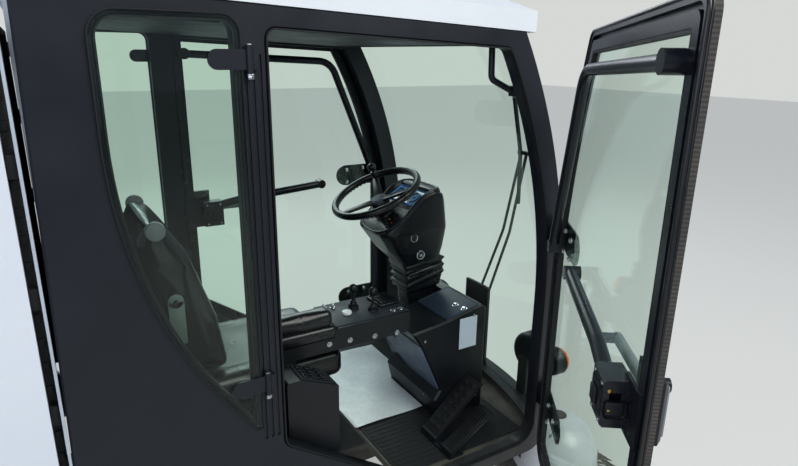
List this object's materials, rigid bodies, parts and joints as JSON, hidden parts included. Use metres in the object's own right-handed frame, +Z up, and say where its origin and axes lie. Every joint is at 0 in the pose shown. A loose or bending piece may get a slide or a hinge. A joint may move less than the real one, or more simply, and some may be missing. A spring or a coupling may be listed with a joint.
{
  "type": "compact road sweeper",
  "caption": "Compact suction road sweeper: glazed cab with open side door, front side brushes, engine housing and a rear hopper that tips.",
  "frame": {"origin": "middle of the machine's own box on the ground, with its right door open", "axes": "+X forward along the longest extent, +Y to the left, +Z up"},
  "size_m": [3.886, 2.198, 2.0412],
  "materials": {
    "white_paint": "semi-gloss white coachwork paint",
    "black_paint": "semi-gloss black powder coat",
    "chassis_paint": "satin black chassis paint",
    "bare_steel": "ground and plated steel pins and rods",
    "axle_iron": "painted cast iron",
    "tyre_rubber": "black tyre rubber",
    "rim_paint": "pale grey wheel paint",
    "glazing": "green tinted safety glass",
    "white_moulding": "white moulded plastic",
    "black_plastic": "black moulded plastic, fine grain",
    "seat_vinyl": "black coated seat fabric",
    "tines": "dark grey brush tines",
    "amber_lens": "clear amber lamp lens",
    "red_lens": "clear red lamp lens"
  },
  "bodies": {
    "machine": {"amber_lamps": "amber_lens", "arm_pad": "seat_vinyl", "body_skirts": "white_paint", "bumper": "black_plastic", "cab_floor": "black_paint", "cab_headers": "black_paint", "cab_rear_wall": "black_paint", "chassis": "chassis_paint", "console": "black_paint", "engine_block": "chassis_paint", "engine_housing": "white_paint", "front_axle": "axle_iron", "headlamps": "black_plastic", "heater_box": "black_plastic", "nose_panel": "white_paint", "pedals": "black_plastic", "quarter_glass": "glazing", "quarter_hinges": "black_paint", "rear_axle": "axle_iron", "rear_lamps": "red_lens", "roof": "white_moulding", "seat_back": "seat_vinyl", "seat_base": "black_paint", "seat_cushion": "seat_vinyl", "side_frame_left": "black_paint", "side_frame_right": "black_paint", "steering_column": "black_plastic", "suction_duct": "chassis_paint", "suction_nozzle": "chassis_paint", "switch_box": "black_plastic", "windscreen": "glazing", "wiper": "black_plastic"},
    "knuckle_left": {"knuckle_left": "axle_iron"},
    "wheel_front_left": {"tyre_front_left": "tyre_rubber", "rim_front_left": "rim_paint"},
    "wheel_rear_left": {"tyre_rear_left": "tyre_rubber", "rim_rear_left": "rim_paint"},
    "door_left": {"door_frame_left": "black_paint", "door_glass_left": "glazing"},
    "brush_arm_left": {"brush_arm_left": "chassis_paint", "brush_cover_left": "white_moulding"},
    "brush_left": {"brush_left": "tines"},
    "lift_barrel_left": {"lift_barrel_left": "chassis_paint"},
    "lift_rod_left": {"lift_rod_left": "bare_steel"},
    "knuckle_right": {"knuckle_right": "axle_iron"},
    "wheel_front_right": {"tyre_front_right": "tyre_rubber", "rim_front_right": "rim_paint"},
    "wheel_rear_right": {"tyre_rear_right": "tyre_rubber", "rim_rear_right": "rim_paint"},
    "door_right": {"door_frame_right": "black_paint", "door_glass_right": "glazing"},
    "brush_arm_right": {"brush_arm_right": "chassis_paint", "brush_cover_right": "white_moulding"},
    "brush_right": {"brush_right": "tines"},
    "lift_barrel_right": {"lift_barrel_right": "chassis_paint"},
    "lift_rod_right": {"lift_rod_right": "bare_steel"},
    "tie_rod": {"tie_rod": "axle_iron"},
    "steering_wheel": {"steering_wheel": "black_plastic"},
    "hopper": {"hopper": "white_paint"},
    "hatch": {"hopper_hatch": "white_paint"}
  },
  "joints": [
    {"name": "steer_left", "type": "hinge", "parent": "machine", "child": "knuckle_left", "pos_m": [0.393, 0.69983, 0.27], "axis": [0, 0, 1], "range_deg": [-26, 26]},
    {"name": "steer_right", "type": "hinge", "parent": "machine", "child": "knuckle_right", "pos_m": [0.393, -0.04017, 0.27], "axis": [0, 0, 1], "range_deg": [-26, 26]},
    {"name": "tie_rod_turn", "type": "hinge", "parent": "knuckle_left", "child": "tie_rod", "pos_m": [0.263, 0.69983, 0.19], "axis": [0, 0, 1], "range_deg": [-26, 26]},
    {"name": "steering_wheel_turn", "type": "hinge", "parent": "machine", "child": "steering_wheel", "pos_m": [0.963, 0.32983, 1.299], "axis": [-0.4067, 0, 0.9135], "range_deg": [-416, 416]},
    {"name": "wheel_front_left_spin", "type": "hinge", "parent": "knuckle_left", "child": "wheel_front_left", "pos_m": [0.393, 0.80783, 0.27], "axis": [0, 1, 0], "continuous": true},
    {"name": "wheel_rear_left_spin", "type": "hinge", "parent": "machine", "child": "wheel_rear_left", "pos_m": [-1.157, 0.80783, 0.27], "axis": [0, 1, 0], "continuous": true},
    {"name": "wheel_front_right_spin", "type": "hinge", "parent": "knuckle_right", "child": "wheel_front_right", "pos_m": [0.393, -0.14817, 0.27], "axis": [0, 1, 0], "continuous": true},
    {"name": "wheel_rear_right_spin", "type": "hinge", "parent": "machine", "child": "wheel_rear_right", "pos_m": [-1.157, -0.14817, 0.27], "axis": [0, 1, 0], "continuous": true},
    {"name": "door_left_swing", "type": "hinge", "parent": "machine", "child": "door_left", "pos_m": [1.353, 0.93083, 1.245], "axis": [0, 0, -1], "range_deg": [0, 75]},
    {"name": "door_right_swing", "type": "hinge", "parent": "machine", "child": "door_right", "pos_m": [1.353, -0.27117, 1.245], "axis": [0, 0, 1], "range_deg": [-54, 21]},
    {"name": "hopper_tip", "type": "hinge", "parent": "machine", "child": "hopper", "pos_m": [-1.687, 0.32983, 0.7], "axis": [0, -1, 0], "range_deg": [0, 48]},
    {"name": "hatch_open", "type": "hinge", "parent": "hopper", "child": "hatch", "pos_m": [-1.8795, 0.32983, 1.922], "axis": [0, 1, 0], "range_deg": [0, 75]},
    {"name": "lift_barrel_left_turn", "type": "hinge", "parent": "machine", "child": "lift_barrel_left", "pos_m": [-0.787, 0.45983, 0.42], "axis": [0, 1, 0], "range_deg": [0, 15.92]},
    {"name": "lift_rod_left_slide", "type": "slide", "parent": "lift_barrel_left", "child": "lift_rod_left", "axis": [-0.9221, 0, 0.387], "range_m": [0, 0.20768]},
    {"name": "brush_arm_left_swing", "type": "hinge", "parent": "machine", "child": "brush_arm_left", "pos_m": [0.983, 0.47983, 0.268], "axis": [0, 0, 1], "range_deg": [-10, 15]},
    {"name": "brush_left_spin", "type": "hinge", "parent": "brush_arm_left", "child": "brush_left", "pos_m": [1.623, 0.77983, 0.078], "axis": [0, 0, 1], "continuous": true},
    {"name": "lift_barrel_right_turn", "type": "hinge", "parent": "machine", "child": "lift_barrel_right", "pos_m": [-0.787, 0.19983, 0.42], "axis": [0, 1, 0], "range_deg": [0, 15.92]},
    {"name": "lift_rod_right_slide", "type": "slide", "parent": "lift_barrel_right", "child": "lift_rod_right", "axis": [-0.9221, 0, 0.387], "range_m": [0, 0.20768]},
    {"name": "brush_arm_right_swing", "type": "hinge", "parent": "machine", "child": "brush_arm_right", "pos_m": [0.983, 0.17983, 0.268], "axis": [0, 0, -1], "range_deg": [-10, 15]},
    {"name": "brush_right_spin", "type": "hinge", "parent": "brush_arm_right", "child": "brush_right", "pos_m": [1.623, -0.12017, 0.078], "axis": [0, 0, 1], "continuous": true}
  ],
  "couplings": [
    {"joint": "steer_right", "follows": "steer_left", "ratio": 1},
    {"joint": "tie_rod_turn", "follows": "steer_left", "ratio": -1},
    {"joint": "steering_wheel_turn", "follows": "steer_left", "ratio": 16},
    {"joint": "lift_barrel_left_turn", "follows": "hopper_tip", "ratio": 0.32118},
    {"joint": "lift_rod_left_slide", "follows": "hopper_tip", "m_per_rad": 0.24552},
    {"joint": "lift_barrel_right_turn", "follows": "hopper_tip", "ratio": 0.32118},
    {"joint": "lift_rod_right_slide", "follows": "hopper_tip", "m_per_rad": 0.24552}
  ]
}
